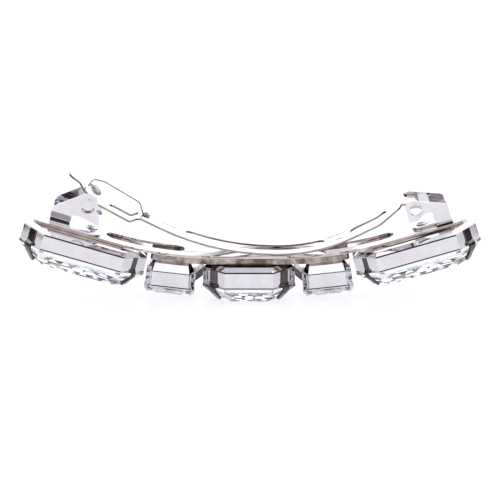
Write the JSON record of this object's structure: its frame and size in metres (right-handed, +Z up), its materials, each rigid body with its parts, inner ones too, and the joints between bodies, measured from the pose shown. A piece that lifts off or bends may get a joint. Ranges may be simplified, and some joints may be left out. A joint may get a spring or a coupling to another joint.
{
  "type": "rhinestone hair clip",
  "caption": "Curved spring barrette with a row of clear cut-corner stones in claw settings, and a slotted clasp arm hinged at one end that snaps into a sprung catch.",
  "frame": {"origin": "centre of the clip's footprint, at the level of the centre stone's table, on which the clip lies", "axes": "+X along the clip towards the hinge, +Y across the clip, +Z up from the stones to the clasp arm"},
  "size_m": [0.091, 0.0184, 0.0256],
  "materials": {
    "strip_chrome": "bright plated, mirror polished",
    "carrier_chrome": "bright plated",
    "setting_chrome": "bright plated, mirror polished",
    "bracket_chrome": "bright plated, mirror polished",
    "spring_chrome": "bright plated spring strip",
    "rivet_chrome": "bright plated",
    "crystal": "clear cut glass, polished facets"
  },
  "bodies": {
    "base": {"base_strip": "strip_chrome", "carrier_bar": "carrier_chrome", "link_left": "carrier_chrome", "link_right": "carrier_chrome", "setting_large_left": "setting_chrome", "setting_small_left": "setting_chrome", "setting_centre": "setting_chrome", "setting_small_right": "setting_chrome", "setting_large_right": "setting_chrome", "stone_large_left": "crystal", "stone_small_left": "crystal", "stone_centre": "crystal", "stone_small_right": "crystal", "stone_large_right": "crystal", "catch_plate": "bracket_chrome", "catch_rivet": "rivet_chrome", "hinge_bracket": "bracket_chrome", "hinge_rivet": "rivet_chrome", "hinge_pin": "rivet_chrome"},
    "arm": {"clasp_arm": "spring_chrome", "spring_loop": "spring_chrome", "loop_rivet": "rivet_chrome"},
    "ear_near": {"catch_ear_near": "bracket_chrome"},
    "ear_far": {"catch_ear_far": "bracket_chrome"}
  },
  "joints": [
    {"name": "arm_hinge", "type": "hinge", "parent": "base", "child": "arm", "pos_m": [0.03256, 0, 0.01869], "axis": [0, 1, 0], "range_deg": [0, 110]},
    {"name": "ear_near_flex", "type": "hinge", "parent": "base", "child": "ear_near", "pos_m": [-0.03438, -0.00438, 0.01504], "axis": [0.9583, 0, -0.2857], "range_deg": [0, 4], "stiffness_Nm_per_rad": 0.002},
    {"name": "ear_far_flex", "type": "hinge", "parent": "base", "child": "ear_far", "pos_m": [-0.03438, 0.00438, 0.01504], "axis": [0.9583, 0, -0.2857], "range_deg": [-4, 0], "stiffness_Nm_per_rad": 0.002}
  ],
  "couplings": [
    {"joint": "ear_far_flex", "follows": "ear_near_flex", "ratio": -1}
  ]
}
